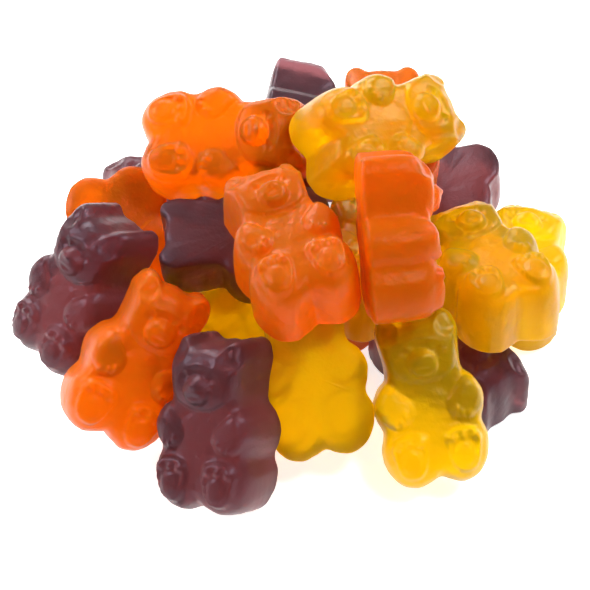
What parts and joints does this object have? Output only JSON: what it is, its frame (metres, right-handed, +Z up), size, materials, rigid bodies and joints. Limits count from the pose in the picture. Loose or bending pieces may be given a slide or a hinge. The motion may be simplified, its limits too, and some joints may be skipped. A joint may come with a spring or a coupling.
{
  "type": "heap of gummy bears",
  "caption": "Loose heap of soft, see-through, bear-shaped gelatine sweets in orange, yellow and purple, lying as it was tipped out on a table.",
  "frame": {"origin": "centre of the heap's footprint, on the table it lies on", "axes": "+Z up, the heap's front towards -Y, its right side towards +X"},
  "size_m": [0.0746, 0.075, 0.0407],
  "materials": {
    "orange_gum": "satin, see-through",
    "yellow_gum": "satin, see-through",
    "purple_gum": "satin, see-through"
  },
  "bodies": {
    "root": {"bear_purple_front_left": "purple_gum", "bear_yellow_front_right": "yellow_gum", "bear_yellow_front_middle": "yellow_gum", "bear_orange_left_front": "orange_gum", "bear_purple_left_side": "purple_gum", "bear_purple_right_front": "purple_gum", "bear_yellow_right_side": "yellow_gum", "bear_yellow_far_right": "yellow_gum", "bear_orange_middle_low": "orange_gum", "bear_yellow_middle_left": "yellow_gum", "bear_purple_middle_dark": "purple_gum", "bear_yellow_middle_right": "yellow_gum", "bear_orange_left_rear": "orange_gum", "bear_purple_left_back": "purple_gum", "bear_purple_right_rear": "purple_gum", "bear_purple_rear_low": "purple_gum", "bear_orange_top_middle": "orange_gum", "bear_orange_top_side_on": "orange_gum", "bear_orange_top_left": "orange_gum", "bear_yellow_top_right": "yellow_gum", "bear_purple_rear_top": "purple_gum", "bear_orange_rear_right": "orange_gum", "bear_yellow_under": "yellow_gum"}
  },
  "joints": []
}
